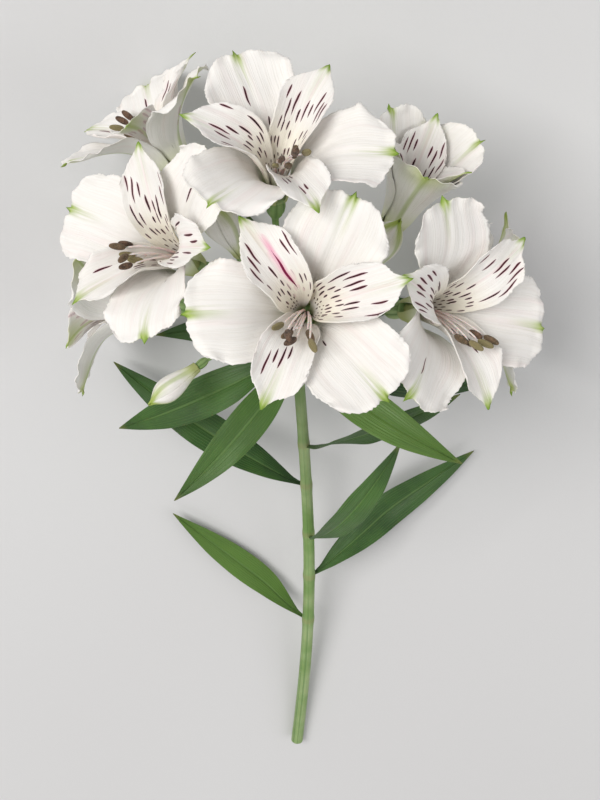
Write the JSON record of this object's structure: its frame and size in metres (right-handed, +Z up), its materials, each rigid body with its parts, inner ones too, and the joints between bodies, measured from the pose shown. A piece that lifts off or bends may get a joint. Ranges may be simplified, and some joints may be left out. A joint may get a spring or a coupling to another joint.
{
  "type": "alstroemeria stem",
  "caption": "Cut stem of a white alstroemeria lying on its cut end and lowest petals: leafy stalk, whorl of leaves, and an umbel of funnel-shaped blooms and buds.",
  "frame": {"origin": "middle of the part's bounding box, at the height of the surface it lies on", "axes": "+Y from the stem's cut end towards the flowers, +Z up from the surface, +X to the right when seen from above with the flowers at the top"},
  "size_m": [0.1722, 0.3488, 0.1348],
  "materials": {
    "tepal_white": "matte",
    "anther_brown": "matte",
    "stalk_green": "satin",
    "leaf_green": "satin"
  },
  "bodies": {
    "root": {"stem": "stalk_green", "ray_1": "stalk_green", "ray_2": "stalk_green", "ray_3": "stalk_green", "ray_4": "stalk_green", "ray_5": "stalk_green", "ray_6": "stalk_green", "ray_7": "stalk_green", "ray_8": "stalk_green", "bud_1_stalk": "stalk_green", "bud_2_stalk": "stalk_green", "bud_3_stalk": "stalk_green", "bloom_1_tepals": "tepal_white", "bloom_2_tepals": "tepal_white", "bloom_3_tepals": "tepal_white", "bloom_4_tepals": "tepal_white", "bloom_5_tepals": "tepal_white", "bloom_6_tepals": "tepal_white", "bloom_7_tepals": "tepal_white", "bloom_8_tepals": "tepal_white", "bud_1": "tepal_white", "bud_2": "tepal_white", "bud_3": "tepal_white", "bloom_1_stamens": "anther_brown", "bloom_2_stamens": "anther_brown", "bloom_3_stamens": "anther_brown", "bloom_4_stamens": "anther_brown", "bloom_5_stamens": "anther_brown", "bloom_6_stamens": "anther_brown", "bloom_7_stamens": "anther_brown", "bloom_8_stamens": "anther_brown", "whorl_leaf_1": "leaf_green", "whorl_leaf_2": "leaf_green", "whorl_leaf_3": "leaf_green", "whorl_leaf_4": "leaf_green", "whorl_leaf_5": "leaf_green", "whorl_leaf_6": "leaf_green", "whorl_leaf_7": "leaf_green", "stem_leaf_1": "leaf_green", "stem_leaf_2": "leaf_green", "stem_leaf_3": "leaf_green", "stem_leaf_4": "leaf_green", "stem_leaf_5": "leaf_green"}
  },
  "joints": []
}
